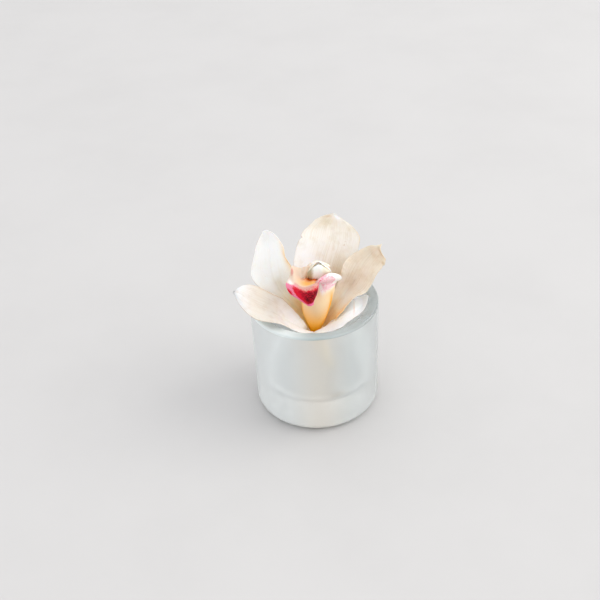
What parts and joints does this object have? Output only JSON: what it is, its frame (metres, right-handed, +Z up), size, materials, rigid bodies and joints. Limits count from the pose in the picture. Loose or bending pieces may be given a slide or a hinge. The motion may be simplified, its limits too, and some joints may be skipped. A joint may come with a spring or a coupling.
{
  "type": "orchid in vase",
  "caption": "Cut cymbidium orchid bloom with a crimson-tipped lip, standing in a small thick-walled tumbler of frosted glass with water.",
  "frame": {"origin": "centre of the vase's flat base, on the surface it stands on", "axes": "+Z up along the vase's axis, -Y towards the side that the bloom's lip faces, +X to its right"},
  "size_m": [0.0751, 0.064, 0.094],
  "materials": {
    "frosted_glass": "finely frosted outside, clear and polished inside and at the rim",
    "water": "clear, wet",
    "stem_green": "fleshy green-brown stalk and ovary, satin",
    "sepal_cream": "soft waxy cream with fine lengthwise veins and thin tan edges",
    "petal_cream": "soft waxy white and cream with fine veins, yellower at the claw",
    "lip_crimson": "velvety crimson and pink patches over peach, with a saffron base",
    "column_cream": "fleshy cream and beige, waxy",
    "anther_white": "cream-white, smooth and waxy"
  },
  "bodies": {
    "root": {"vase": "frosted_glass", "water": "water", "stem": "stem_green", "dorsal_sepal": "sepal_cream", "lateral_sepal_left": "sepal_cream", "lateral_sepal_right": "sepal_cream", "petal_left": "petal_cream", "petal_right": "petal_cream", "lip": "lip_crimson", "column": "column_cream", "anther_cap": "anther_white"}
  },
  "joints": []
}
